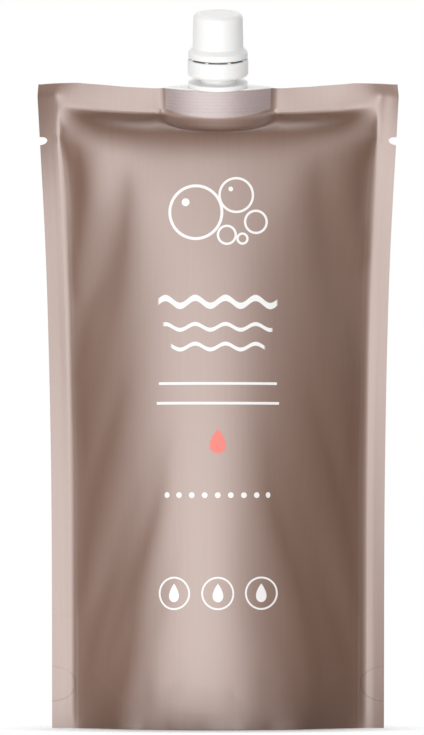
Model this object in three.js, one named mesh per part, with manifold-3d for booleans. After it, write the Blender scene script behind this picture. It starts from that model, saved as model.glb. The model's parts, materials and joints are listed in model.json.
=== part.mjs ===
// A stand-up refill pouch for liquid soap, filled and sealed, with a screw-capped spout in its top seal.
// Millimetres, +Z up, standing on the plane z = 0, front towards -Y, origin in the middle of the base.

import * as THREE from 'three';
import { mergeVertices } from 'three/addons/utils/BufferGeometryUtils.js';
import Module from 'manifold-3d';

const wasm = await Module();
wasm.setup();

// Film pouch, as cut and sealed flat
const pouchWidth = 140;
const pouchHeight = 250;
const film = 0.15;
const sideSeal = 10;
const topSeal = 11.5;
const gussetHeight = 43;
const notchDepth = 3;
const notchHeight = 3.3;
const notchDrop = 23;

// Filled shape of the pouch
const bulge = 22.8;
const bulgePower = 4.5;
const baseFlat = 56;
const topDip = 3.5;
const dipFlat = 60;
const lean = THREE.MathUtils.degToRad(12);
const bendLength = 85;
const straightBelowBoat = 21.1;
const boatFade = 25;
const gussetInset = 4;

// Spout moulding, heights above the pouch's top edge
const boatLength = 41.6;
const boatThickness = 13;
const boatDepth = 10.4;
const ribCount = 5;
const ribHeight = 1.2;
const ribRelief = 0.45;
const boreRadius = 4.7;
const neckWall = 1.9;
const neckRootWall = 0.9;
const flangeReach = 4.9;
const flangeBottom = 0.6;
const flangeThickness = 1.9;
const collarReach = 2;
const collarHeight = 1.6;

// Tamper band, hung under the neck's collar
const bandGap = 2.3;
const bandHeight = 6.5;
const bandRoom = 1.4;
const bandWall = 1.6;
const bandChamfer = 0.9;
const bandLip = 1.2;
const bandTravel = 1.2;
const bridgeCount = 8;
const bridgeWidth = 1;
const bridgeHeight = 0.4;

// Screw cap, with room for the thread round the neck
const threadRoom = 1.45;
const capWall = 1.4;
const capDraft = 0.25;
const capHeight = 17.3;
const capRoof = 2.4;
const capRound = 2;
const brimReach = 1.65;
const brimHeight = 2.2;
const shoulderHeight = 1.7;
const plugWall = 1;
const plugDepth = 3;

// Fits: gap between pieces that touch, and how far a cutter passes the face it cuts
const clearance = 0.3;
const overcut = 1;
const roundSegments = 36;

// The closure's radii and heights follow one another
const neckRadius = boreRadius + neckWall;
const flangeRadius = neckRadius + flangeReach;
const flangeTop = flangeBottom + flangeThickness;
const bandBottom = flangeTop + bandGap;
const bandTop = bandBottom + bandHeight;
const collarRadius = neckRadius + collarReach;
const collarBottom = bandBottom + bandLip + bandTravel;
const bandInside = collarRadius + bandRoom;
const bandRadius = bandInside + bandWall;
const capBottom = bandTop + bridgeHeight + clearance;
const capTop = capBottom + capHeight;
const capCeiling = capTop - capRoof;
const capInside = neckRadius + threadRoom;
const capTopRadius = capInside + capWall;
const capRadius = capTopRadius + capDraft;
const brimRadius = capRadius + brimReach;
const spoutTop = capCeiling - clearance;

// The pouch's own lines
const webHalf = pouchWidth / 2 - sideSeal;
const bulgeTop = pouchHeight - topSeal;
const spoutHeight = pouchHeight - topDip;
const boatBottom = spoutHeight - boatDepth;
const bendEnd = boatBottom - straightBelowBoat;
const bendStart = bendEnd - bendLength;

const pouchMaterial = new THREE.MeshStandardMaterial({ color: 0xbfaea5, roughness: 0.42, metalness: 0.55 });
const spoutMaterial = new THREE.MeshStandardMaterial({ color: 0xf3f2f0, roughness: 0.4, metalness: 0 });
const bandMaterial = new THREE.MeshStandardMaterial({ color: 0xf5f4f2, roughness: 0.38, metalness: 0 });
const capMaterial = new THREE.MeshStandardMaterial({ color: 0xf6f5f3, roughness: 0.36, metalness: 0 });

function solidOf(geometry) {
  geometry.deleteAttribute('normal');
  geometry.deleteAttribute('uv');
  const merged = mergeVertices(geometry);
  const vertProperties = new Float32Array(merged.attributes.position.array);
  const triVerts = new Uint32Array(merged.index.array);
  return new wasm.Manifold(new wasm.Mesh({ numProp: 3, vertProperties, triVerts }));
}

function meshOf(name, solid, material) {
  const { vertProperties, triVerts } = solid.getMesh();
  const geometry = new THREE.BufferGeometry();
  geometry.setAttribute('position', new THREE.BufferAttribute(vertProperties, 3));
  geometry.setIndex(new THREE.BufferAttribute(triVerts, 1));
  geometry.computeVertexNormals();
  const mesh = new THREE.Mesh(geometry, material);
  mesh.name = name;
  return mesh;
}

// A solid turned about +Z from [radius, height] points that run up the outside.
function turned(points) {
  const profile = points.map(([radius, height]) => new THREE.Vector2(radius, height));
  return solidOf(new THREE.LatheGeometry(profile, roundSegments).rotateX(Math.PI / 2));
}

// The weld boat's outline is two equal arcs that meet in points at its ends.
const boatArcRadius = ((boatLength / 2) ** 2 + (boatThickness / 2) ** 2) / boatThickness;
const boatArcOffset = boatArcRadius - boatThickness / 2;

function boatHalfThickness(x, margin) {
  const reach = (boatArcRadius + margin) ** 2 - x * x;
  return Math.max(0, Math.sqrt(Math.max(0, reach)) - boatArcOffset);
}

function boatSlab(margin, bottom, top) {
  const radius = boatArcRadius + margin;
  const tip = Math.asin(boatArcOffset / radius);
  const outline = new THREE.Shape();
  outline.absarc(0, -boatArcOffset, radius, tip, Math.PI - tip, false);
  outline.absarc(0, boatArcOffset, radius, Math.PI + tip, 2 * Math.PI - tip, false);
  const settings = { depth: top - bottom, bevelEnabled: false, curveSegments: 14 };
  return solidOf(new THREE.ExtrudeGeometry(outline, settings).translate(0, 0, bottom));
}

// The pouch stands straight up to bendStart, bends forward to bendEnd and runs on straight.
// height is measured along that centre line, and out at right angles to it, towards the back.
function onCentreLine(height, out) {
  const bent = THREE.MathUtils.clamp(height - bendStart, 0, bendLength);
  const curve = lean / bendLength;
  const angle = bent * curve;
  const past = Math.max(0, height - bendEnd);
  const y = -(1 - Math.cos(angle)) / curve - past * Math.sin(angle);
  const z = Math.min(height, bendStart) + Math.sin(angle) / curve + past * Math.cos(angle);
  return { y: y + out * Math.cos(angle), z: z + out * Math.sin(angle), angle };
}

// Half angle of the arc that a web of the given half width makes when its middle stands out by depth.
function webAngle(halfWidth, depth) {
  let low = 1e-4;
  let high = Math.PI / 2;
  for (let step = 0; step < 40; step += 1) {
    const middle = (low + high) / 2;
    if ((halfWidth * (1 - Math.cos(middle))) / middle < depth) low = middle;
    else high = middle;
  }
  return low;
}

// Where a point of the flat film lies in the filled pouch: across and up on the web, before the bend.
function filled(across, up) {
  const depthHere = bulge * Math.max(0, 1 - (up / bulgeTop) ** bulgePower);
  const angle = webAngle(webHalf, depthHere);
  const radius = webHalf / angle;
  const onWeb = Math.min(Math.abs(across), webHalf) / radius;
  const x = Math.sign(across) * (radius * Math.sin(onWeb) + Math.max(0, Math.abs(across) - webHalf));
  const lens = radius * (Math.cos(onWeb) - Math.cos(angle));
  const dip = topDip * (1 - THREE.MathUtils.smoothstep(Math.abs(across), dipFlat / 2, pouchWidth / 2));
  const height = up - (dip * up) / pouchHeight;
  const nearBoat = THREE.MathUtils.smoothstep(height, boatBottom - overcut - boatFade, boatBottom - overcut);
  const overBoat = boatHalfThickness(x, clearance + film) * nearBoat;
  return { x, height, depth: Math.cbrt(lens ** 3 + overBoat ** 3) };
}

// A box whose columns and rows are the film's, laid over the front (-1) and back (+1) of the filled pouch.
const webColumns = 24;
const sealColumns = 2;
const filmRows = 30;

function acrossFilm(column) {
  const past = Math.max(0, Math.abs(column) - webColumns / 2);
  const onWeb = Math.abs(column) - past;
  return Math.sign(column) * ((onWeb / (webColumns / 2)) * webHalf + (past / sealColumns) * sideSeal);
}

function filledPouch() {
  const columns = webColumns + 2 * sealColumns;
  const geometry = new THREE.BoxGeometry(columns, 2, filmRows, columns, 1, filmRows);
  const position = geometry.attributes.position;
  for (let i = 0; i < position.count; i += 1) {
    const across = acrossFilm(position.getX(i));
    const up = ((position.getZ(i) + filmRows / 2) / filmRows) * pouchHeight;
    const { x, height, depth } = filled(across, up);
    const { y, z } = onCentreLine(height, position.getY(i) * (depth + film));
    position.setXYZ(i, x, y, z);
  }
  return solidOf(geometry);
}

// Under each end of the base the gusset rises to the side seal, and the webs hang down round the hollow.
const gussetColumns = 8;
const gussetStart = baseFlat / 2;
const gussetEnd = webHalf - gussetInset;

function gussetHollow(side) {
  const geometry = new THREE.BoxGeometry(gussetColumns, 2, 2, gussetColumns, 2, 2);
  const position = geometry.attributes.position;
  for (let i = 0; i < position.count; i += 1) {
    const share = (position.getX(i) + gussetColumns / 2) / gussetColumns;
    const across = gussetStart + share * (gussetEnd - gussetStart);
    const rise = gussetHeight * (1 - Math.sqrt(1 - share * share));
    const up = ((position.getZ(i) + 1) / 2) * rise;
    const { x, depth } = filled(across, up);
    const inside = Math.max(film, depth - 2 * film);
    const z = position.getZ(i) < 0 ? -overcut : up;
    position.setXYZ(i, x, position.getY(i) * inside, z);
  }
  const hollow = solidOf(geometry);
  return side > 0 ? hollow : hollow.mirror([1, 0, 0]);
}

function tearNotch(side) {
  const edge = filled((side * pouchWidth) / 2, pouchHeight - notchDrop);
  const { y, z, angle } = onCentreLine(edge.height, 0);
  const notch = new THREE.CylinderGeometry(1, 1, 2 * overcut, 16);
  notch.scale(notchDepth, 1, notchHeight / 2);
  notch.rotateX(angle);
  return solidOf(notch.translate(edge.x, y, z));
}

const spoutFoot = onCentreLine(spoutHeight, 0);

function makePouch() {
  const pocket = boatSlab(clearance, -boatDepth - clearance, flangeBottom)
    .rotate([THREE.MathUtils.radToDeg(lean), 0, 0])
    .translate([0, spoutFoot.y, spoutFoot.z]);
  const pouch = filledPouch()
    .subtract(pocket)
    .subtract(gussetHollow(1))
    .subtract(gussetHollow(-1))
    .subtract(tearNotch(1))
    .subtract(tearNotch(-1));
  return meshOf('pouch', pouch, pouchMaterial);
}

function makeSpout() {
  const collarTop = collarBottom + collarHeight;
  const neck = turned([
    [0, -overcut],
    [boreRadius + neckRootWall, -overcut],
    [boreRadius + neckRootWall, flangeBottom],
    [flangeRadius, flangeBottom],
    [flangeRadius, flangeTop],
    [neckRadius, flangeTop],
    [neckRadius, collarBottom],
    [collarRadius, collarBottom],
    [neckRadius, collarTop],
    [neckRadius, spoutTop],
    [0, spoutTop],
  ]);
  let spout = boatSlab(-ribRelief, -boatDepth, flangeBottom).add(neck);
  const ribPitch = (boatDepth - ribHeight) / (ribCount - 1);
  for (let rib = 0; rib < ribCount; rib += 1) {
    const bottom = -boatDepth + rib * ribPitch;
    spout = spout.add(boatSlab(0, bottom, bottom + ribHeight));
  }
  const boreLength = boatDepth + spoutTop + 2 * overcut;
  const bore = new THREE.CylinderGeometry(boreRadius, boreRadius, boreLength, roundSegments);
  bore.rotateX(Math.PI / 2).translate(0, 0, boreLength / 2 - boatDepth - overcut);
  return meshOf('spout', spout.subtract(solidOf(bore)), spoutMaterial);
}

function makeTamperBand() {
  const lipRadius = neckRadius + clearance;
  let band = turned([
    [lipRadius, bandBottom],
    [bandRadius - bandChamfer, bandBottom],
    [bandRadius, bandBottom + bandChamfer],
    [bandRadius, bandTop],
    [bandInside, bandTop],
    [bandInside, bandBottom + bandLip],
    [lipRadius, bandBottom + bandLip],
    [lipRadius, bandBottom],
  ]);
  for (let bridge = 0; bridge < bridgeCount; bridge += 1) {
    const post = new THREE.BoxGeometry(bandWall / 2, bridgeWidth, 2 * bridgeHeight);
    post.translate(bandRadius - bandWall / 2, 0, bandTop);
    post.rotateZ((2 * Math.PI * (bridge + 0.5)) / bridgeCount);
    band = band.add(solidOf(post));
  }
  return meshOf('tamper_band', band, bandMaterial);
}

function makeCap() {
  const plugRadius = boreRadius - clearance;
  const shoulderTop = capBottom + brimHeight + shoulderHeight;
  const profile = [
    [0, capCeiling],
    [plugRadius - plugWall, capCeiling],
    [plugRadius - plugWall, capCeiling - plugDepth],
    [plugRadius, capCeiling - plugDepth],
    [plugRadius, capCeiling],
    [capInside, capCeiling],
    [capInside, capBottom],
    [brimRadius, capBottom],
    [brimRadius, capBottom + brimHeight],
    [capRadius, shoulderTop],
  ];
  const roundSteps = 5;
  for (let step = 0; step <= roundSteps; step += 1) {
    const angle = (Math.PI / 2) * (step / roundSteps);
    const radius = capTopRadius - capRound * (1 - Math.cos(angle));
    profile.push([radius, capTop - capRound * (1 - Math.sin(angle))]);
  }
  profile.push([0, capTop]);
  return meshOf('cap', turned(profile), capMaterial);
}

const closure = new THREE.Group();
closure.add(makeSpout(), makeTamperBand(), makeCap());
closure.position.set(0, spoutFoot.y, spoutFoot.z);
closure.rotation.x = lean;

const pack = new THREE.Group();
pack.add(makePouch(), closure);

export default pack;
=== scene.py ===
import json
import math

import bmesh
import bpy
import numpy as np
from mathutils import Matrix, Vector


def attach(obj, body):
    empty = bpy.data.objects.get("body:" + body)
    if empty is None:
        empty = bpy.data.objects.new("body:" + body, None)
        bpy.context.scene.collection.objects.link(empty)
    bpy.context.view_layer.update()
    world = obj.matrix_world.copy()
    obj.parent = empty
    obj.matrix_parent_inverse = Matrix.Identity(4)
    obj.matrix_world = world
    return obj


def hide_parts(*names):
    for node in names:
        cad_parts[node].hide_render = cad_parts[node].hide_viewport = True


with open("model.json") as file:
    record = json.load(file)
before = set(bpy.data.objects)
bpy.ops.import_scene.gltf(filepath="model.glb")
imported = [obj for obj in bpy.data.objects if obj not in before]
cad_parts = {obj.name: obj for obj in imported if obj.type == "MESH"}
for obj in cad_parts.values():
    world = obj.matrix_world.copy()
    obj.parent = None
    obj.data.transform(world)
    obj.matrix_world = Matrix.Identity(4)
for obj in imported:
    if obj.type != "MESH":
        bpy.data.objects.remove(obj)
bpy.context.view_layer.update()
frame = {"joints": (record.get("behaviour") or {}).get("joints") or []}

# Filled bag
# Two webs of laminate film are heat sealed to each other at both sides and along the top, round the
# spout's weld boat. Soap swells them apart, so each web settles from its flat cut without stretching.
MM = 0.001
WEB_WIDE, WEB_TALL = 143.5 * MM, 250 * MM
FILM_THICK = 0.15 * MM
SIDE_SEAL, TOP_SEAL = 10 * MM, 10 * MM
BULGE, BULGE_LEAST, BULGE_TO, BULGE_POWER = 25 * MM, 10.5 * MM, 240 * MM, 4.5
BOAT_LONG, BOAT_THICK = 41.6 * MM, 13 * MM
BEND_FROM, BEND_LONG = 130 * MM, 85 * MM
TOP_DIP = 3.5 * MM
TOP_SLOPE, CALM_TOP = 0.42, 32 * MM
GUSSET_HALF, HEM_MIDDLE, HEM_POWER = 43 * MM, 5 * MM, 2.5
COLUMNS, ROWS = 28, 50
ON_SEAL, ON_BOAT = 0.1 * MM, 0.5 * MM
BEND_PULL, SLANT_PULL, PULL_ROUNDS = 0.12, 0.6, 3
PUSH_GAIN, PUSH_MOST, PUSH_AT_ONCE, PUSH_SPREAD = 0.04, 40, 3, 4
PRESS_STEP, PRESS_MOST, DRIFT_KEPT = 0.02 * MM, 25, 0.92
LEAST_GAP = 0.2 * MM
IRON_LEAST, IRON_FROM, IRON_FADE, IRON_EASE = 0.12, 205 * MM, 60 * MM, 0.5
COARSE_ROUNDS, FINE_ROUNDS, IRON_ROUNDS = 600, 450, 220
START_FADE, START_NARROW = 30 * MM, 0.1

cap_turn = frame["joints"][0]
spout_axis = Vector(cap_turn["axis"]).normalized()
lean = math.atan2(-spout_axis.y, spout_axis.z)
boat_round = (BOAT_LONG**2 + BOAT_THICK**2) / (4 * BOAT_THICK)
boat_wrap = boat_round * math.asin(BOAT_LONG / 2 / boat_round)


def spine(height, out):
    """y and z of the bag's middle plane, which bends forward to the spout, and of what lies out from it."""
    curve = lean / BEND_LONG
    angle = np.clip(height - BEND_FROM, 0, BEND_LONG) * curve
    past = np.maximum(height - BEND_FROM - BEND_LONG, 0)
    y = (np.cos(angle) - 1) / curve - past * np.sin(angle)
    z = np.minimum(height, BEND_FROM) + np.sin(angle) / curve + past * np.cos(angle)
    return y + out * np.cos(angle), z + out * np.sin(angle)


def flat_places(rows, columns):
    """Where the film's points lie across and up the flat web."""
    across = np.linspace(-WEB_WIDE / 2, WEB_WIDE / 2, columns + 1)
    return np.meshgrid(across, np.linspace(0, WEB_TALL, rows + 1))


def wanted_depth(up):
    """How far the soap would push the middle of a web out, at each height."""
    return np.maximum(BULGE_LEAST, BULGE * (1 - (up / BULGE_TO) ** BULGE_POWER))


def film_links(rows, columns):
    """Pairs of film points with their flat distance and pull, in sets that share no point."""
    steps = {1: WEB_TALL / rows, 2: WEB_WIDE / columns}
    links = []
    for gap, pull, bending in ((1, 1.0, False), (2, BEND_PULL, True)):
        for axis, count in ((1, rows + 1), (2, columns + 1)):
            for turn in (0, 1):
                first = np.flatnonzero(np.arange(count - gap) // gap % 2 == turn)
                ends = [(slice(None),) * axis + (first + shift,) for shift in (0, gap)]
                links.append((*ends, gap * steps[axis], pull, bending))
    for turn in (0, 1):
        low = np.arange(turn, rows, 2)
        for left, right in ((slice(0, -1), slice(1, None)), (slice(1, None), slice(0, -1))):
            ends = (slice(None), low, left), (slice(None), low + 1, right)
            links.append((*ends, math.hypot(*steps.values()), SLANT_PULL, False))
    return links


def settle(webs, rounds):
    """Lets both webs find their filled shape: pushed out by the soap, held by seals, boat and table."""
    rows, columns = webs.shape[1] - 1, webs.shape[2] - 1
    across, up = flat_places(rows, columns)
    top = up > WEB_TALL - TOP_SEAL - ON_SEAL
    on_boat = top & (np.abs(across) < boat_wrap + ON_BOAT)
    sealed = (top | (np.abs(across) > WEB_WIDE / 2 - SIDE_SEAL - ON_SEAL)) & ~on_boat
    free = np.ones((2, rows + 1, columns + 1, 1))
    free[:, on_boat] = 0
    round_boat = np.clip(across, -boat_wrap, boat_wrap) / boat_round
    for side, web in zip((-1, 1), webs):
        out = boat_round * (np.cos(round_boat) - 1) + BOAT_THICK / 2 + FILM_THICK
        y, z = spine(up - TOP_DIP, side * np.maximum(out, 0))
        x = across + boat_round * (np.sin(round_boat) - round_boat)
        web[on_boat] = np.stack([x, y, z], axis=-1)[on_boat]
    below_seal = np.maximum(WEB_TALL - TOP_SEAL - up[:, 0], 0)
    from_boat = BOAT_THICK / 2 + TOP_SLOPE * below_seal
    wanted = np.where(below_seal > 0, np.minimum(wanted_depth(up[:, 0]), from_boat), 0)
    calm = np.clip(below_seal / CALM_TOP, 0, 1) ** 2
    links = film_links(rows, columns)
    drift, push = np.zeros_like(webs), np.zeros(rows + 1)
    spread = np.ones(2 * PUSH_SPREAD + 1) / (2 * PUSH_SPREAD + 1)
    cell = WEB_WIDE / columns * WEB_TALL / rows
    for _ in range(rounds):
        before = webs.copy()
        middle = webs[:, :, columns // 2, 1]
        short = (wanted - (middle[1] - middle[0]) / 2) / MM
        push = np.clip(push + PUSH_GAIN * short * (wanted > 0), 0, PUSH_MOST)
        strength = np.pad(push + PUSH_AT_ONCE * short, PUSH_SPREAD, mode="edge")
        strength = np.convolve(strength, spread, "valid")
        outward = np.cross(np.gradient(webs, axis=2), np.gradient(webs, axis=1)) / cell
        outward[1] *= -1
        outward[:, sealed] = 0
        press = PRESS_STEP * calm * np.clip(strength, 0, PRESS_MOST)
        webs += free * (DRIFT_KEPT * drift + outward * press[None, :, None, None])
        for _ in range(PULL_ROUNDS):
            for first, second, length, pull, bending in links:
                span = webs[second] - webs[first]
                now = np.sqrt((span * span).sum(-1, keepdims=True)) + 1e-9
                miss = np.minimum(now - length, 0) if bending else now - length
                share = free[first] + free[second]
                move = pull * span * miss / now / np.maximum(share, 1)
                webs[first] += move * free[first]
                webs[second] -= move * free[second]
            webs[:, sealed] = webs[:, sealed].mean(0)
            cross = np.maximum(webs[0, ..., 1] - webs[1, ..., 1] + LEAST_GAP, 0) / 2
            cross[sealed] = 0
            webs[0, ..., 1] -= cross
            webs[1, ..., 1] += cross
            webs[..., 2] = np.maximum(webs[..., 2], 0)
            webs[:, 0, :, 2] = 0
        drift = webs - before
    return webs


def finer(webs):
    """The same film with a point added between every two."""
    for axis in (1, 2):
        low, high = np.delete(webs, -1, axis), np.delete(webs, 0, axis)
        whole = np.repeat(webs, 2, axis)
        whole = np.delete(whole, -1, axis)
        place = (slice(None),) * axis + (slice(1, None, 2),)
        whole[place] = (low + high) / 2
        webs = whole
    return webs


def ironed(webs, rounds):
    """Takes out the small waves that a stiff laminate doesn't hold: in depth, and along the side seals."""
    across, up = flat_places(webs.shape[1] - 1, webs.shape[2] - 1)
    side = np.abs(across) > WEB_WIDE / 2 - SIDE_SEAL - ON_SEAL
    top = up > WEB_TALL - TOP_SEAL - ON_SEAL
    stiff = IRON_LEAST + (1 - IRON_LEAST) * np.clip((IRON_FROM - up) / IRON_FADE, 0, 1)
    boat = top & (np.abs(across) < boat_wrap + ON_BOAT)
    sealed = (side | top) & ~boat
    ease = np.where(side | boat, 0, IRON_EASE * np.where(top, 1, stiff))[1:-1, 1:-1]
    along = np.where(side & (up < WEB_TALL - TOP_SEAL / 2), IRON_EASE, 0)[1:-1, :, None]
    for _ in range(rounds):
        depth = webs[..., 1]
        around = depth[:, :-2, 1:-1] + depth[:, 2:, 1:-1] + depth[:, 1:-1, :-2] + depth[:, 1:-1, 2:]
        depth[:, 1:-1, 1:-1] += ease * (around / 4 - depth[:, 1:-1, 1:-1])
        webs[:, 1:-1] += along * ((webs[:, :-2] + webs[:, 2:]) / 2 - webs[:, 1:-1])
        depth[:, -1] = depth[:, -2] * 2 - depth[:, -3]
        webs[:, sealed] = webs[:, sealed].mean(0)
    return webs


flat_across, flat_up = flat_places(ROWS, COLUMNS)
web_half = WEB_WIDE / 2 - SIDE_SEAL
top_room = np.clip((WEB_TALL - TOP_SEAL - flat_up) / START_FADE, 0, 1)
swell = wanted_depth(flat_up) * top_room * np.maximum(0, 1 - (flat_across / web_half) ** 2)
narrow = 1 - START_NARROW * wanted_depth(flat_up) / BULGE
webs = np.empty((2, ROWS + 1, COLUMNS + 1, 3))
for side, web in zip((-1, 1), webs):
    start_y, start_z = spine(flat_up * (1 - TOP_DIP / WEB_TALL), side * swell)
    web[:] = np.stack([flat_across * narrow, start_y, start_z], axis=-1)
webs = finer(settle(webs, COARSE_ROUNDS))
webs = settle(webs, FINE_ROUNDS)
webs = ironed(webs, IRON_ROUNDS)


def on_film(web, across, up):
    """Points of a settled web at any flat place, on smooth curves through its grid."""
    rows, columns = web.shape[0] - 1, web.shape[1] - 1
    parts = []
    for at, count in ((up / WEB_TALL * rows, rows), ((across / WEB_WIDE + 0.5) * columns, columns)):
        cell = np.clip(np.floor(at).astype(int), 0, count - 1)
        t = at - cell
        shares = [
            (-t + 2 * t**2 - t**3) / 2,
            (2 - 5 * t**2 + 3 * t**3) / 2,
            (t + 4 * t**2 - 3 * t**3) / 2,
            (t**3 - t**2) / 2,
        ]
        parts.append([(cell + shift + 1, share) for shift, share in zip((-1, 0, 1, 2), shares)])
    padded = np.pad(web, ((1, 1), (1, 1), (0, 0)), mode="reflect", reflect_type="odd")
    return sum(
        padded[row, column] * (row_share * column_share)[..., None]
        for row, row_share in parts[0]
        for column, column_share in parts[1]
    )


def film_mesh(name, points, flat):
    """A grid of film on the given points, with its flat place, in shares of the web, as its UV map."""
    rows, columns = points.shape[0], points.shape[1]
    grid = bmesh.new()
    bmesh.ops.create_grid(grid, x_segments=columns - 1, y_segments=rows - 1, size=0.5)
    flat_map = grid.loops.layers.uv.new("flat")
    for vert in grid.verts:
        column = round((vert.co.x + 0.5) * (columns - 1))
        row = round((vert.co.y + 0.5) * (rows - 1))
        vert.co = points[row, column]
        for loop in vert.link_loops:
            loop[flat_map].uv = flat[row, column]
    for edge in grid.edges:
        edge.smooth = not edge.is_boundary
    mesh = bpy.data.meshes.new(name)
    grid.to_mesh(mesh)
    grid.free()
    mesh.shade_smooth()
    piece = bpy.data.objects.new(name, mesh)
    bpy.context.scene.collection.objects.link(piece)
    wall = piece.modifiers.new("film", "SOLIDIFY")
    wall.thickness, wall.offset = FILM_THICK, 1
    return piece


class Value:
    """A socket of a material's nodes. Operators on it add Math nodes."""

    def __init__(self, tree, socket=None):
        self.tree, self.socket = tree, socket

    def node(self, kind, settings=(), inputs=(), output=0):
        made = self.tree.nodes.new("ShaderNode" + kind)
        for name, setting in dict(settings).items():
            setattr(made, name, setting)
        for name, given in dict(inputs).items():
            if isinstance(given, Value):
                self.tree.links.new(given.socket, made.inputs[name])
            else:
                made.inputs[name].default_value = given
        return Value(self.tree, made.outputs[output])

    def math(self, operation, *others, clamp=False):
        settings = {"operation": operation, "use_clamp": clamp}
        return self.node("Math", settings, dict(enumerate((self, *others))))

    def __add__(self, other):
        return self.math("ADD", other)

    def __sub__(self, other):
        return self.math("SUBTRACT", other)

    def __mul__(self, other):
        return self.math("MULTIPLY", other)

    def __truediv__(self, other):
        return self.math("DIVIDE", other)

    def __pow__(self, other):
        return self.math("POWER", other)

    def __rsub__(self, other):
        return self.math("MULTIPLY", -1.0).math("ADD", other)

    def __abs__(self):
        return self.math("ABSOLUTE")

    __radd__, __rmul__ = __add__, __mul__

    def within(self, limit, soft=0.12):
        """1 where this is below limit, 0 above it, with an edge soft wide."""
        room = self * -1.0 + limit
        return (room / soft).math("ADD", 0.5, clamp=True)

    def most(self, other):
        return self.math("MAXIMUM", other)


def far(x, y):
    """How far a place is from the middle."""
    return (x * x + y * y).math("SQRT")


def new_material(name):
    """A material with its nodes, and its shader."""
    material = bpy.data.materials.new(name)
    material.use_nodes = True
    tree = material.node_tree
    shader = tree.nodes["Principled BSDF"]
    return material, Value(tree), shader


def feed(shader, name, value):
    """Joins a varying value to one of the shader's inputs."""
    value.tree.links.new(value.socket, shader.inputs[name])


FILM_BROWN = (0.19, 0.092, 0.057, 1)
FILM_PALE = (0.24, 0.145, 0.11, 1)
FILM_WELDED = (0.34, 0.26, 0.255, 1)
INK_WHITE = (0.82, 0.81, 0.8, 1)
INK_CORAL = (0.76, 0.16, 0.125, 1)
WAVE_LONG, DOT_PITCH, DOT, DOTS_HALF = 11.6, 5.0, 1.1, 22
WELD_HALF, WELD_LOW, WELD_ARCH, ARCH_HALF, WELD_LINES = 21.2, 239.6, 2.4, 21.0, 1.3
PUNCH_WIDE, PUNCH_TALL, PUNCH_UP = 9.2, 6.6, 17.0
SEAL_RELIEF, PUNCH_RELIEF, LINE_RELIEF, STIPPLE_RELIEF = 0.10, 0.3, 0.05, 0.12
GRAIN_RELIEF, CLOUD_RELIEF, HEM_RELIEF, DENT_RELIEF = 0.010, 0.25, 0.16, 0.45
FILM_METAL, FILM_ROUGH = 0.15, 0.44


def film_print(across, up):
    """White and coral ink masks, in mm: bubbles, waves, lines, a drop, dots and three ringed drops."""

    def ring(x, y, radius, line):
        return abs(far(across - x, up - y) - radius).within(line / 2)

    def disc(x, y, radius):
        return far(across - x, up - y).within(radius)

    def drop(x, y, half, tall):
        rise = ((up - y) / tall).math("MAXIMUM", 0.0).math("MINIMUM", 1.0)
        edge = rise.math("SQRT") * (1 - rise) * (2.6 * half)
        return abs(across - x).within(edge - 0.06)

    def wave(y, half, swing, line):
        bent = up - y - (across * (2 * math.pi / WAVE_LONG)).math("SINE") * swing
        return abs(bent).within(line / 2) * abs(across).within(half, 0.8)

    white = ring(-8.5, 197, 10, 1.1)
    for x, y, radius in ((7, 203.5, 6.4), (14.6, 193.4, 4.2), (3.4, 188.4, 3.4), (9.4, 187, 1.9)):
        white = white.most(ring(x, y, radius, 0.9))
    white = white.most(disc(-12.4, 200.8, 1.5)).most(disc(4.9, 205.8, 0.9))
    for y, half, swing, line in ((163, 23, 1.5, 2.4), (153.5, 21, 1.1, 1.5), (146, 18, 1.1, 1.5)):
        white = white.most(wave(y, half, swing, line))
    for y, half in ((132, 23), (124.5, 24)):
        white = white.most(abs(up - y).within(0.5) * abs(across).within(half))
    beside = (across + 10.5 * DOT_PITCH).math("MODULO", DOT_PITCH) - DOT_PITCH / 2
    dots = far(beside, up - 89.5).within(DOT) * abs(across).within(DOTS_HALF)
    white = white.most(dots)
    for x in (-17, 0, 17):
        white = white.most(ring(x, 52, 6, 0.7)).most(drop(x, 48.6, 2.1, 7.2))
    return white, drop(0, 105.4, 3.2, 9.4)


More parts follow.
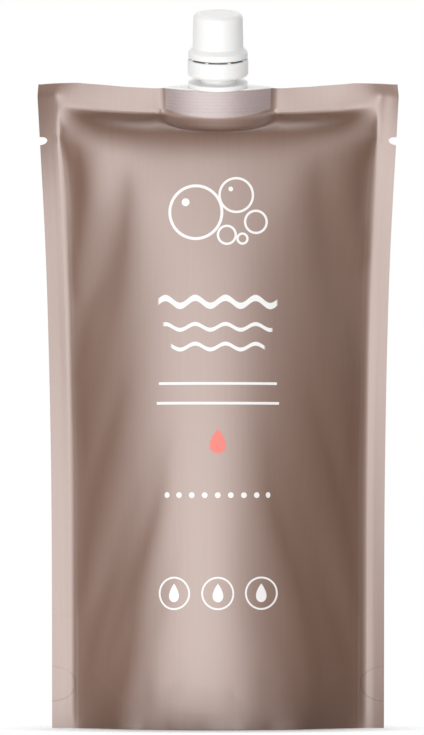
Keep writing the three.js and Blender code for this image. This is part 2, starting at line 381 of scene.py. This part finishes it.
def film_material(name, printed):
    """Satin metallic laminate: a brown metal look under a clear skin, with the press marks of its seals."""
    material, nodes, shader = new_material(name)
    flat = nodes.node("UVMap", {"uv_map": "flat"})
    split = nodes.node("SeparateXYZ", inputs={0: flat})
    across = (split - 0.5) * (WEB_WIDE / MM)
    up = Value(split.tree, split.socket.node.outputs["Y"]) * (WEB_TALL / MM)
    beside = abs(across)
    edge_at, seal_at = WEB_WIDE / 2 / MM, (WEB_WIDE / 2 - SIDE_SEAL) / MM
    place = nodes.node("TexCoord", output="Object")
    cloudy = nodes.node("TexNoise", inputs={"Vector": place, "Scale": 18.0, "Detail": 2.0})
    grain = nodes.node("TexNoise", inputs={"Vector": place, "Scale": 900.0, "Detail": 3.0})

    side_seal = 1 - beside.within(seal_at, soft=0.7)
    top_seal = 1 - up.within((WEB_TALL - TOP_SEAL) / MM, soft=0.7)
    seal = side_seal.most(top_seal)
    boat_arch = WELD_LOW + WELD_ARCH * (beside / ARCH_HALF) ** 2.0
    weld = beside.within(WELD_HALF, soft=0.6) * (1 - up.within(boat_arch, soft=0.6))
    weld_lines = (up * (2 * math.pi / WELD_LINES)).math("SINE") * weld
    stipple = nodes.node("TexVoronoi", inputs={"Vector": flat, "Scale": 150.0})
    hem_share = (beside / seal_at).math("MINIMUM", 0.98)
    hem_rise = 1 - (1 - hem_share**HEM_POWER).math("SQRT")
    hem = HEM_MIDDLE / MM + (GUSSET_HALF - HEM_MIDDLE) / MM * hem_rise
    in_hem = up.within(hem, soft=2.5) * beside.within(seal_at - 4.0, soft=4.0)
    gusset_step = up.within(GUSSET_HALF / MM, soft=0.8) * side_seal
    from_punch = far((edge_at - beside) / PUNCH_WIDE, (up - PUNCH_UP) / PUNCH_TALL)
    punch = from_punch.within(1.0, soft=0.09) * side_seal
    dents = 0.0
    for x, y, wide, tall in ((-18, 17, 7, 8), (-5, 16, 10, 8), (6, 13, 6, 8), (22, 19, 10, 7)):
        dents = (1 - far((across - x) / wide, (up - y) / tall)).math("MAXIMUM", 0.0) ** 2.0 + dents
    height = (
        seal * SEAL_RELIEF + gusset_step * SEAL_RELIEF - punch * PUNCH_RELIEF
        + weld_lines * LINE_RELIEF + stipple * weld * STIPPLE_RELIEF
        + grain * GRAIN_RELIEF + cloudy * CLOUD_RELIEF
        + in_hem * HEM_RELIEF - dents * DENT_RELIEF
    )
    bump = nodes.node("Bump", inputs={"Height": height, "Strength": 0.6, "Distance": MM})
    feed(shader, "Normal", bump)

    drawn = nodes.node("CombineXYZ", inputs={0: across * 0.8, 1: up * 0.025})
    streaks = nodes.node("TexNoise", inputs={"Vector": drawn, "Scale": 1.0, "Detail": 3.0})
    # The film's tone varies at random with cloud and drawn streaks. The seals are also painted paler: a
    # painted highlight that stands in for the sheen of their flat faces.
    tone_and_seal_highlight = (cloudy * 0.4 + streaks * 0.5 + seal * 0.3).math("SUBTRACT", 0.15, clamp=True)
    colour = nodes.node(
        "Mix", {"data_type": "RGBA"}, {"Factor": tone_and_seal_highlight, 6: FILM_BROWN, 7: FILM_PALE}, output=2
    )
    colour = nodes.node(
        "Mix", {"data_type": "RGBA"}, {"Factor": weld, 6: colour, 7: FILM_WELDED}, output=2
    )
    metal = FILM_METAL - weld * 0.1
    rough = FILM_ROUGH + cloudy * 0.06 + seal * 0.03
    coat = 1 - weld * 0.1
    if printed:
        white, coral = film_print(across, up)
        for mask, ink in ((white, INK_WHITE), (coral, INK_CORAL)):
            colour = nodes.node(
                "Mix", {"data_type": "RGBA"}, {"Factor": mask, 6: colour, 7: ink}, output=2
            )
        inked = white.most(coral)
        metal = metal * (1 - inked)
        rough = rough + inked * 0.12
        coat = coat * (1 - inked * 0.8)
    feed(shader, "Base Color", colour)
    feed(shader, "Metallic", metal)
    feed(shader, "Roughness", rough)
    feed(shader, "Coat Weight", coat)
    shader.inputs["IOR"].default_value = 1.6
    shader.inputs["Coat IOR"].default_value = 1.95
    shader.inputs["Coat Roughness"].default_value = 0.45
    return material


# Front and back webs
# Each web is one piece of laminate film, cut square and notched for tearing at both edges under the
# top seal. The front web carries the print.
NOTCH_UP, NOTCH_TALL, NOTCH_DEEP = 227 * MM, 3.3 * MM, 3 * MM
NOTCH_ROOM, NOTCH_CLEAR, NOTCH_ROWS = 7 * MM, 0.2 * MM, 17
web_across = np.linspace(-WEB_WIDE / 2, WEB_WIDE / 2, 2 * webs.shape[2] - 1)
web_up = np.linspace(0, WEB_TALL, 2 * webs.shape[1] - 1)
notch_up = np.linspace(NOTCH_UP - NOTCH_TALL / 2, NOTCH_UP + NOTCH_TALL / 2, NOTCH_ROWS)
clear_of_notch = np.abs(web_up - NOTCH_UP) > NOTCH_TALL / 2 + NOTCH_CLEAR
web_up = np.sort(np.concatenate([web_up[clear_of_notch], notch_up]))
across, up = np.meshgrid(web_across, web_up)
notch = NOTCH_DEEP * np.sqrt(np.maximum(0, 1 - (2 * (up - NOTCH_UP) / NOTCH_TALL) ** 2))
edge_room = np.maximum(0, np.abs(across) - WEB_WIDE / 2 + NOTCH_ROOM)
across = across - np.sign(across) * edge_room * notch / NOTCH_ROOM
flat = np.stack([across / WEB_WIDE + 0.5, up / WEB_TALL], axis=-1)

front_web = film_mesh("front_web", on_film(webs[0], across, up), flat)
back_web = film_mesh("back_web", on_film(webs[1], across, up), flat)
back_web.data.flip_normals()
front_web.data.materials.append(film_material("printed film", True))
back_web.data.materials.append(film_material("plain film", False))
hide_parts("pouch")
for piece in (front_web, back_web):
    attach(piece, "pack")


# Bottom gusset
# A third piece of the same film, folded up between the webs and sealed to both along a curved hem.
# Soap presses it onto the table, and its spare length stands up inside as a pleat along the middle.
GUSSET_WIDE = 115 * MM
BASE_FLAT, GUSSET_END, STEEPEST = 28 * MM, 56 * MM, 0.985
PLEAT_GAP, PLEAT_LEAST = 0.3 * MM, 1 * MM
GUSSET_COLUMNS, LINING_ROWS, FLOOR_ROWS, PLEAT_ROWS = 92, 7, 10, 4
LINING_FROM, FLOOR_CURVE = 0.06, 4
gusset_across = np.linspace(-GUSSET_WIDE / 2, GUSSET_WIDE / 2, GUSSET_COLUMNS + 1)
hem_share = np.minimum(np.abs(gusset_across) / web_half, 1)
hem = HEM_MIDDLE + (GUSSET_HALF - HEM_MIDDLE) * (1 - np.sqrt(1 - hem_share**HEM_POWER))
rise_share = np.clip((np.abs(gusset_across) - BASE_FLAT) / (GUSSET_END - BASE_FLAT), 0, STEEPEST)
rise = GUSSET_HALF * (1 - np.sqrt(1 - rise_share**2)) + 1.5 * FILM_THICK
halves = []
for side, web in zip((-1, 1), webs):
    lining = []
    for share in np.linspace(LINING_FROM, 1, LINING_ROWS):
        line = on_film(web, gusset_across, hem * share)
        line[:, 1] -= side * 2 * FILM_THICK
        lining.append(line)
    foot = lining[-1].copy()
    foot[:, 1], foot[:, 2] = side * PLEAT_GAP, np.minimum(rise, foot[:, 2])
    floor = []
    for share in np.linspace(0, 1, FLOOR_ROWS + 1)[1:]:
        line = lining[-1] * (1 - share) + foot * share
        line[:, 2] = foot[:, 2] + (lining[-1][:, 2] - foot[:, 2]) * (1 - share) ** FLOOR_CURVE
        floor.append(line)
    spare = GUSSET_HALF - hem - np.linalg.norm(lining[-1] - foot, axis=1)
    pleat = []
    for share in np.linspace(0, 1, PLEAT_ROWS + 1)[1:]:
        line = foot.copy()
        line[:, 2] += np.maximum(spare, PLEAT_LEAST) * share
        pleat.append(line)
    halves.append(lining + floor + pleat)
gusset_points = np.array(halves[0] + halves[1][::-1])
gusset_rows = np.linspace(0, 2 * GUSSET_HALF / WEB_TALL, len(gusset_points))
gusset_flat = np.stack(np.meshgrid(gusset_across / WEB_WIDE + 0.5, gusset_rows), axis=-1)
bottom_gusset = film_mesh("bottom_gusset", gusset_points, gusset_flat)
bottom_gusset.data.materials.append(back_web.data.materials[0])
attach(bottom_gusset, "pack")


# Spout
# One white polyethylene moulding: a ribbed canoe-shaped boat welded between the webs, a flange, a
# neck with a collar that traps the tamper band, and a coarse thread for the cap.
TURN_STEPS, NO_RADIUS = 96, 1e-7
SHARP_FROM = math.radians(35)
THREAD_LOW, THREAD_PITCH, THREAD_TURNS, THREAD_STEPS = 14.5 * MM, 4 * MM, 2, 48
THREAD_HALF, THREAD_ROOT = 0.28 * THREAD_PITCH, 0.15 * MM


def turned(profile, round_by):
    """A moulding turned from an outline of (radius, height), its corners rounded."""
    body = bmesh.new()
    corners = [body.verts.new((radius, 0, height)) for radius, height in profile]
    body.faces.new(corners)
    sharp = [corner for corner, (radius, _) in zip(corners, profile) if radius > 0]
    bmesh.ops.bevel(
        body, geom=sharp, offset=round_by, affect="VERTICES", segments=3, profile=0.5,
        material=-1, clamp_overlap=True,
    )
    outline = list(body.faces)[0]
    edges = [edge for edge in outline.edges if any(vert.co.x > NO_RADIUS for vert in edge.verts)]
    bmesh.ops.delete(body, geom=[outline], context="FACES_ONLY")
    axis_edges = [edge for edge in body.edges if edge not in edges]
    bmesh.ops.delete(body, geom=axis_edges, context="EDGES")
    bmesh.ops.spin(
        body, geom=body.verts[:] + body.edges[:], cent=(0, 0, 0), axis=(0, 0, 1),
        angle=2 * math.pi, steps=TURN_STEPS, use_merge=True,
    )
    bmesh.ops.remove_doubles(body, verts=body.verts, dist=NO_RADIUS)
    bmesh.ops.recalc_face_normals(body, faces=body.faces)
    return body


def finished(body, name, material, to_row):
    """The moulding as an object in its place, smooth apart from its sharp edges."""
    body.transform(to_row)
    mesh = bpy.data.meshes.new(name)
    body.to_mesh(mesh)
    body.free()
    mesh.shade_smooth()
    mesh.set_sharp_from_angle(angle=SHARP_FROM)
    mesh.materials.append(material)
    piece = bpy.data.objects.new(name, mesh)
    bpy.context.scene.collection.objects.link(piece)
    return piece


def screw_ridge(body, radius, reach):
    """Adds a screw thread's ridge, of blunt triangular section, wound up a cylinder."""
    steps = THREAD_STEPS * THREAD_TURNS
    root, crest = radius - math.copysign(THREAD_ROOT, reach), radius + reach
    section = [
        (root, -THREAD_HALF), (crest, -THREAD_HALF / 4), (crest, THREAD_HALF / 4), (root, THREAD_HALF)
    ]
    verts = [body.verts.new((r, 0, THREAD_LOW + z)) for r, z in section]
    bmesh.ops.spin(
        body, geom=[body.faces.new(verts)], cent=(0, 0, 0), axis=(0, 0, 1),
        angle=2 * math.pi * THREAD_TURNS, steps=steps,
        dvec=(0, 0, THREAD_PITCH * THREAD_TURNS / steps),
    )


WHITE_PLASTIC, WHITE_PALE = (0.86, 0.855, 0.845, 1), (0.89, 0.885, 0.88, 1)


def moulded_white(name):
    """White moulded polyethylene: waxy satin, very slightly uneven."""
    material, nodes, shader = new_material(name)
    place = nodes.node("TexCoord", output="Object")
    flow = nodes.node("TexNoise", inputs={"Vector": place, "Scale": 60.0, "Detail": 2.0})
    skin = nodes.node("TexNoise", inputs={"Vector": place, "Scale": 1400.0, "Detail": 2.0})
    colour = nodes.node(
        "Mix", {"data_type": "RGBA"},
        {"Factor": flow, 6: WHITE_PLASTIC, 7: WHITE_PALE}, output=2,
    )
    feed(shader, "Base Color", colour)
    feed(shader, "Roughness", 0.34 + flow * 0.1)
    feed(shader, "Normal", nodes.node(
        "Bump", inputs={"Height": skin, "Strength": 0.25, "Distance": 0.02 * MM}
    ))
    shader.inputs["Specular IOR Level"].default_value = 0.3
    shader.inputs["Subsurface Weight"].default_value = 0.15
    shader.inputs["Subsurface Scale"].default_value = 1.5 * MM
    return material


TURN_HEIGHT = 20.47 * MM
spout_foot = Vector(cap_turn["pos_m"]) - spout_axis * TURN_HEIGHT
to_row = Matrix.Translation(spout_foot) @ Matrix.Rotation(lean, 4, "X")
BORE, NECK, TUBE_WALL = 4.7 * MM, 6.6 * MM, 0.9 * MM
BOAT_DEEP, BOAT_TIP, BOAT_CLEAR = 10.4 * MM, 0.25 * MM, 0.05 * MM
RIB_TALL, RIB_RELIEF, RIB_EDGE, RIBS = 1.2 * MM, 0.45 * MM, 0.15 * MM, 5
FLANGE, FLANGE_LOW, FLANGE_HIGH = 11.5 * MM, 0.6 * MM, 2.5 * MM
COLLAR, COLLAR_LOW, COLLAR_HIGH = 8.6 * MM, 7.2 * MM, 8.8 * MM
SPOUT_HIGH, SPOUT_ROUND, NECK_THREAD = 26.6 * MM, 0.35 * MM, 0.75 * MM
spout_body = turned([
    (BORE, -BOAT_DEEP), (BORE + TUBE_WALL, -BOAT_DEEP), (BORE + TUBE_WALL, FLANGE_LOW),
    (FLANGE, FLANGE_LOW), (FLANGE, FLANGE_HIGH), (NECK, FLANGE_HIGH),
    (NECK, COLLAR_LOW), (COLLAR, COLLAR_LOW), (NECK, COLLAR_HIGH),
    (NECK, SPOUT_HIGH), (BORE, SPOUT_HIGH),
], SPOUT_ROUND)
screw_ridge(spout_body, NECK, NECK_THREAD)


def boat_outline(body, margin, height):
    """The boat's outline of two arcs, with blunt tips, as a ring of points."""
    ring = bmesh.ops.create_circle(body, cap_ends=False, segments=64, radius=1)["verts"]
    for vert in ring:
        x = vert.co.x * (BOAT_LONG / 2 + margin)
        out = math.sqrt((boat_round + margin) ** 2 - x * x) - boat_round + BOAT_THICK / 2
        vert.co = (x, math.copysign(max(out, BOAT_TIP), vert.co.y), height)
    return [edge for edge in body.edges if all(vert in ring for vert in edge.verts)]


levels = []
rib_pitch = (BOAT_DEEP - RIB_TALL) / (RIBS - 1)
for rib in range(RIBS):
    low = -BOAT_DEEP + rib * rib_pitch
    levels += [(-RIB_RELIEF, low), (0, low + RIB_EDGE)] if rib else [(0, low)]
    levels += [(0, low + RIB_TALL - RIB_EDGE), (-RIB_RELIEF, low + RIB_TALL)]
levels.append((-RIB_RELIEF, FLANGE_LOW - BOAT_CLEAR))
rings = [boat_outline(spout_body, margin, height) for margin, height in levels]
for lower, upper in zip(rings, rings[1:]):
    bmesh.ops.bridge_loops(spout_body, edges=lower + upper)
for ring in (rings[0], rings[-1]):
    bmesh.ops.contextual_create(spout_body, geom=ring)
spout = finished(spout_body, "spout_moulding", moulded_white("spout white"), to_row)
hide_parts("spout")
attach(spout, "pack")


# Tamper band
# A white polyethylene ring, moulded with the cap, that stays on the neck under its collar, with the
# stubs of the bridges that joined the two.
BAND, BAND_IN, BAND_LIP = 11.6 * MM, 10 * MM, 6.9 * MM
BAND_LOW, BAND_HIGH, LIP_HIGH = 4.8 * MM, 11.3 * MM, 6 * MM
BAND_CHAMFER, BAND_ROUND = 0.9 * MM, 0.3 * MM
BRIDGES, BRIDGE_DEEP, BRIDGE_WIDE, BRIDGE_TALL = 8, 0.8 * MM, 1 * MM, 0.4 * MM
band_body = turned([
    (BAND_LIP, BAND_LOW), (BAND - BAND_CHAMFER, BAND_LOW), (BAND, BAND_LOW + BAND_CHAMFER),
    (BAND, BAND_HIGH), (BAND_IN, BAND_HIGH), (BAND_IN, LIP_HIGH), (BAND_LIP, LIP_HIGH),
], BAND_ROUND)
for bridge in range(BRIDGES):
    post = bmesh.ops.create_cube(band_body, size=1)["verts"]
    bmesh.ops.scale(band_body, verts=post, vec=(BRIDGE_DEEP, BRIDGE_WIDE, 2 * BRIDGE_TALL))
    bmesh.ops.translate(band_body, verts=post, vec=((BAND + BAND_IN) / 2, 0, BAND_HIGH))
    turn = Matrix.Rotation(2 * math.pi * (bridge + 0.5) / BRIDGES, 3, "Z")
    bmesh.ops.rotate(band_body, verts=post, cent=(0, 0, 0), matrix=turn)
tamper_ring = finished(band_body, "tamper_ring", moulded_white("band white"), to_row)
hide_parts("tamper_band")
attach(tamper_ring, "pack")


# Cap
# A white polyethylene screw cap, moulded in one piece: a plain tapered shell with a rounded top, a brim
# at its foot to grip, a plug that seals the bore and a thread inside.
CAP_LOW, CAP_HIGH, CAP_CEILING = 12 * MM, 29.3 * MM, 26.9 * MM
CAP_IN, CAP_TOP, CAP_FOOT = 8.05 * MM, 9.45 * MM, 9.7 * MM
BRIM, BRIM_TALL, SHOULDER = 11.35 * MM, 2.2 * MM, 1.7 * MM
CAP_ROUND, CAP_EDGE, CAP_THREAD = 2 * MM, 0.25 * MM, -0.5 * MM
DISH, DISH_FLOOR, DISH_DEEP = 6.4 * MM, 6.1 * MM, 0.3 * MM
CROWN_STEPS = 8
PLUG, PLUG_WALL, PLUG_LONG = 4.4 * MM, 1 * MM, 3 * MM
crown = [
    (CAP_TOP - CAP_ROUND * (1 - math.cos(a)), CAP_HIGH - CAP_ROUND * (1 - math.sin(a)))
    for a in np.linspace(0, math.pi / 2, CROWN_STEPS)
]
cap_body = turned([
    (0, CAP_CEILING), (PLUG - PLUG_WALL, CAP_CEILING), (PLUG - PLUG_WALL, CAP_CEILING - PLUG_LONG),
    (PLUG, CAP_CEILING - PLUG_LONG), (PLUG, CAP_CEILING), (CAP_IN, CAP_CEILING), (CAP_IN, CAP_LOW),
    (BRIM, CAP_LOW), (BRIM, CAP_LOW + BRIM_TALL), (CAP_FOOT, CAP_LOW + BRIM_TALL + SHOULDER),
    *crown, (DISH, CAP_HIGH), (DISH_FLOOR, CAP_HIGH - DISH_DEEP), (0, CAP_HIGH - DISH_DEEP),
], CAP_EDGE)
screw_ridge(cap_body, CAP_IN, CAP_THREAD)
cap = finished(cap_body, "screw_cap", moulded_white("cap white"), to_row)
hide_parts("cap")
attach(cap, "cap")


# Table, light and camera
# A pale table that fades into a white room, a large soft lamp in front and a weak one above, dark
# cards at the sides and above, so that the film shows its curves, and a long lens level with the bag.
TABLE_ROUND, TABLE_DROP, FADE_FROM, FADE_TO = 0.32, 0.1 * MM, 0.035, 0.085
LAMP_AIM = Vector((0, 0, 0.13))
PICTURE_WIDE, PICTURE_TALL, PIXEL = 424, 735, 0.3836 * MM
AXIS_PIXEL, BASE_PIXEL = 218, 728
LENS_AWAY, LENS_UP, SENSOR, SEEN_TO = 6.0, 0.14, 36, 50


def staged(name, body, material):
    """A thing that stands beside the part, and is no piece of it."""
    mesh = bpy.data.meshes.new(name)
    body.to_mesh(mesh)
    body.free()
    mesh.materials.append(material)
    thing = bpy.data.objects.new(name, mesh)
    bpy.context.scene.collection.objects.link(thing)
    return thing


table_material, nodes, shader = new_material("pale table")
shader.inputs["Base Color"].default_value = (0.92, 0.92, 0.92, 1)
shader.inputs["Roughness"].default_value = 0.9
shader.inputs["Specular IOR Level"].default_value = 0.1
place = nodes.node("TexCoord", output="Object")
split = nodes.node("SeparateXYZ", inputs={0: place})
reach = far(split, Value(split.tree, split.socket.node.outputs["Y"]))
fade = nodes.node("MapRange", inputs={"Value": reach, 1: FADE_FROM, 2: FADE_TO, 3: 0.0, 4: 1.0})
clear = nodes.node("BsdfTransparent")
mixed = nodes.node("MixShader", inputs={0: fade, 1: Value(nodes.tree, shader.outputs[0]), 2: clear})
nodes.tree.links.new(mixed.socket, nodes.tree.nodes["Material Output"].inputs["Surface"])
body = bmesh.new()
bmesh.ops.create_circle(body, cap_ends=True, segments=64, radius=TABLE_ROUND)
bmesh.ops.translate(body, verts=body.verts, vec=(0, 0, -TABLE_DROP))
staged("table", body, table_material)

card_material, _, shader = new_material("dark card")
shader.inputs["Base Color"].default_value = (0.03, 0.027, 0.024, 1)
shader.inputs["Roughness"].default_value = 1.0
for name, size, turn, middle in (
    ("card_left", (0.7, 1.3), ("Y", 90), (-0.65, -0.1, -0.1)),
    ("card_right", (0.7, 1.4), ("Y", 90), (0.36, -0.25, -0.14)),
    ("card_above", (1.2, 0.9), ("X", 35), (0, -0.55, 0.95)),
):
    body = bmesh.new()
    bmesh.ops.create_grid(body, x_segments=1, y_segments=1, size=0.5)
    bmesh.ops.scale(body, verts=body.verts, vec=(*size, 1))
    body.transform(Matrix.Translation(middle) @ Matrix.Rotation(math.radians(turn[1]), 4, turn[0]))
    card = staged(name, body, card_material)
    card.visible_camera = False

world = bpy.data.worlds.new("white room")
world.use_nodes = True
bpy.context.scene.world = world
nodes = Value(world.node_tree)
path = nodes.node("LightPath")
rays = path.socket.node.outputs
seen = path + Value(path.tree, rays["Is Glossy Ray"]) + Value(path.tree, rays["Is Transmission Ray"])
seen = seen.math("MINIMUM", 1.0)
room = nodes.node("Background", inputs={"Color": (1, 1, 1, 1), "Strength": 0.8 + 0.2 * seen})
nodes.tree.links.new(room.socket, nodes.tree.nodes["World Output"].inputs["Surface"])

for name, place, size, watts in (
    ("front_lamp", (-0.36, -1.5, -0.2), (1.6, 1.2), 21),
    ("top_lamp", (0, 0.35, 1.0), (0.8, 0.6), 3),
):
    lamp = bpy.data.lights.new(name, "AREA")
    lamp.shape, lamp.size, lamp.size_y, lamp.energy = "RECTANGLE", *size, watts
    stand = bpy.data.objects.new(name, lamp)
    stand.location = place
    stand.rotation_euler = (LAMP_AIM - Vector(place)).to_track_quat("-Z", "Y").to_euler()
    bpy.context.scene.collection.objects.link(stand)

camera = bpy.data.cameras.new("camera")
camera.sensor_width = SENSOR
camera.lens = SENSOR * LENS_AWAY / (PICTURE_TALL * PIXEL)
view_from = bpy.data.objects.new("camera", camera)
aim = Vector(((PICTURE_WIDE / 2 - AXIS_PIXEL) * PIXEL, 0, (BASE_PIXEL - PICTURE_TALL / 2) * PIXEL))
view_from.location = (aim.x, -LENS_AWAY, LENS_UP)
view_from.rotation_euler = (aim - view_from.location).to_track_quat("-Z", "Y").to_euler()
camera.clip_end = SEEN_TO
bpy.context.scene.collection.objects.link(view_from)
bpy.context.scene.camera = view_from
bpy.context.scene.view_settings.view_transform = "Standard"
